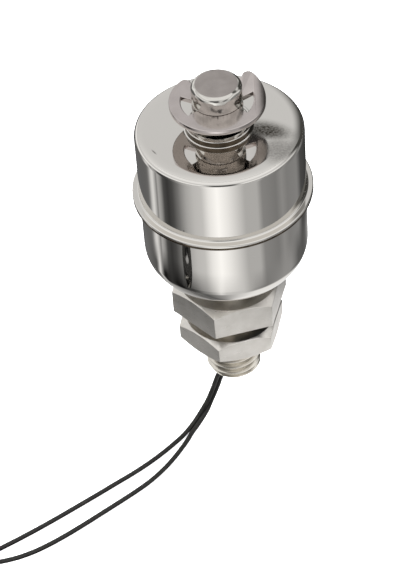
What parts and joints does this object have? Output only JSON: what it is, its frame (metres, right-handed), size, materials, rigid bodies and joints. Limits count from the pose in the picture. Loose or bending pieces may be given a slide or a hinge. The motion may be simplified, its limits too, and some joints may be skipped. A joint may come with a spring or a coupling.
{
  "type": "float level switch",
  "caption": "Stainless float level switch: polished float sliding on a threaded stem below an E-clip stop, hex flange, lock nut and two black leads.",
  "frame": {"origin": "on the stem's axis, at the underside of the hex flange, which seats on the tank wall", "axes": "+Z along the stem to its tip; the threaded stub points along -Z; the leads leave it and lie towards -X and -Y"},
  "size_m": [0.0761, 0.0638, 0.082],
  "materials": {
    "steel_polished": "mirror-polished stainless steel",
    "steel_satin": "satin turned stainless steel",
    "ferrite": "matt sintered ferrite",
    "glass": "clear green-tinted glass",
    "reed_alloy": "plated nickel-iron",
    "clear_sleeve": "shrink sleeve",
    "tinned_metal": "tinned copper and tinned brass",
    "potting": "black epoxy",
    "lead_insulation": "black PVC insulation",
    "tie_plastic": "black plastic band"
  },
  "bodies": {
    "switch_body": {"hex_fitting": "steel_satin", "stem_tube": "steel_satin", "stem_weld": "steel_satin", "upper_stop_clip": "steel_satin", "reed_glass": "glass", "reed_blade_lower": "reed_alloy", "reed_blade_upper": "reed_alloy", "reed_sleeve": "clear_sleeve", "splice_signal": "tinned_metal", "splice_return": "tinned_metal", "potting": "potting", "inner_lead_signal": "lead_insulation", "inner_lead_return": "lead_insulation", "lead_run_signal": "lead_insulation", "lead_coil_signal": "lead_insulation", "lead_tail_signal": "lead_insulation", "lead_tip_signal": "tinned_metal", "lead_run_return": "lead_insulation", "lead_coil_return": "lead_insulation", "lead_tail_return": "lead_insulation", "lead_tip_return": "tinned_metal", "coil_tie": "tie_plastic"},
    "float": {"float_upper_shell": "steel_polished", "float_lower_shell": "steel_polished", "float_center_tube": "steel_satin", "ring_magnet": "ferrite", "magnet_retainer_lower": "steel_satin", "magnet_retainer_upper": "steel_satin"},
    "lock_nut": {"lock_nut": "steel_satin"}
  },
  "joints": [
    {"name": "float_slide", "type": "slide", "parent": "switch_body", "child": "float", "axis": [0, 0, 1], "range_m": [-0.0036, 0.0035]},
    {"name": "lock_nut_travel", "type": "slide", "parent": "switch_body", "child": "lock_nut", "axis": [0, 0, 1], "range_m": [-0.0091, 0.0029]}
  ]
}
